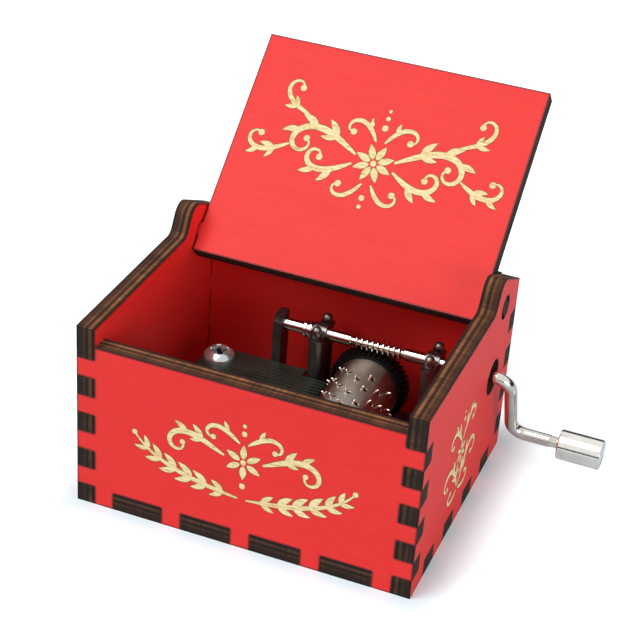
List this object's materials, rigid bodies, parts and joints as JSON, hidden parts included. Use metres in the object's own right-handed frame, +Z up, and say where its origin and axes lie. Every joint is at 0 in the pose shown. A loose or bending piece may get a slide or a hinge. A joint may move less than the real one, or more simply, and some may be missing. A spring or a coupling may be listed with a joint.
{
  "type": "hand-crank music box",
  "caption": "Small finger-jointed plywood music box with a hinged lid, open over a pinned drum and comb that a side crank turns through a worm.",
  "frame": {"origin": "middle of the case's footprint, on the underside that rests on the table", "axes": "+X along the front to the crank side, +Y to the rear, +Z up"},
  "size_m": [0.0853, 0.0758, 0.0647],
  "materials": {
    "stained_plywood": "red-stained laser-cut plywood with burnt edges",
    "die_cast_zinc": "dark tumbled zinc die-casting",
    "comb_steel": "blued and ground spring steel",
    "lead": "dull cast lead",
    "nickel_plate": "bright nickel plate",
    "blackened_steel": "blackened glossy steel",
    "zinc_screw": "zinc-plated steel",
    "drum_nickel": "satin nickel-plated steel",
    "black_acetal": "moulded black acetal"
  },
  "bodies": {
    "case": {"front_panel": "stained_plywood", "rear_panel": "stained_plywood", "left_panel": "stained_plywood", "right_panel": "stained_plywood", "bottom_panel": "stained_plywood", "bedplate": "die_cast_zinc", "comb": "comb_steel", "comb_weights": "lead", "comb_screws": "nickel_plate", "drum_bridge": "blackened_steel", "bridge_screw": "zinc_screw", "left_bearing_strap": "blackened_steel", "right_bearing_strap": "blackened_steel", "bearing_rivets": "blackened_steel", "base_screws": "zinc_screw"},
    "lid": {"lid_panel": "stained_plywood"},
    "crank": {"crank_shaft": "nickel_plate", "shaft_collar": "nickel_plate"},
    "knob": {"crank_knob": "nickel_plate", "knob_end_cap": "nickel_plate"},
    "drum": {"drum_sleeve": "drum_nickel", "drum_front_cap": "drum_nickel", "drum_arbor": "drum_nickel", "drive_gear": "black_acetal"}
  },
  "joints": [
    {"name": "lid_hinge", "type": "hinge", "parent": "case", "child": "lid", "pos_m": [0, 0.0175, 0.0352], "axis": [1, 0, 0], "range_deg": [0, 137.8]},
    {"name": "crank_turn", "type": "hinge", "parent": "case", "child": "crank", "pos_m": [0, 0.0145, 0.0219], "axis": [1, 0, 0], "continuous": true},
    {"name": "drum_spin", "type": "hinge", "parent": "case", "child": "drum", "pos_m": [0.0086, 0, 0.0134], "axis": [0, 1, 0], "continuous": true},
    {"name": "knob_spin", "type": "hinge", "parent": "crank", "child": "knob", "pos_m": [0.049, 0.0207, 0.00715], "axis": [1, 0, 0], "continuous": true}
  ],
  "couplings": [
    {"joint": "drum_spin", "follows": "crank_turn", "ratio": -0.022727}
  ]
}
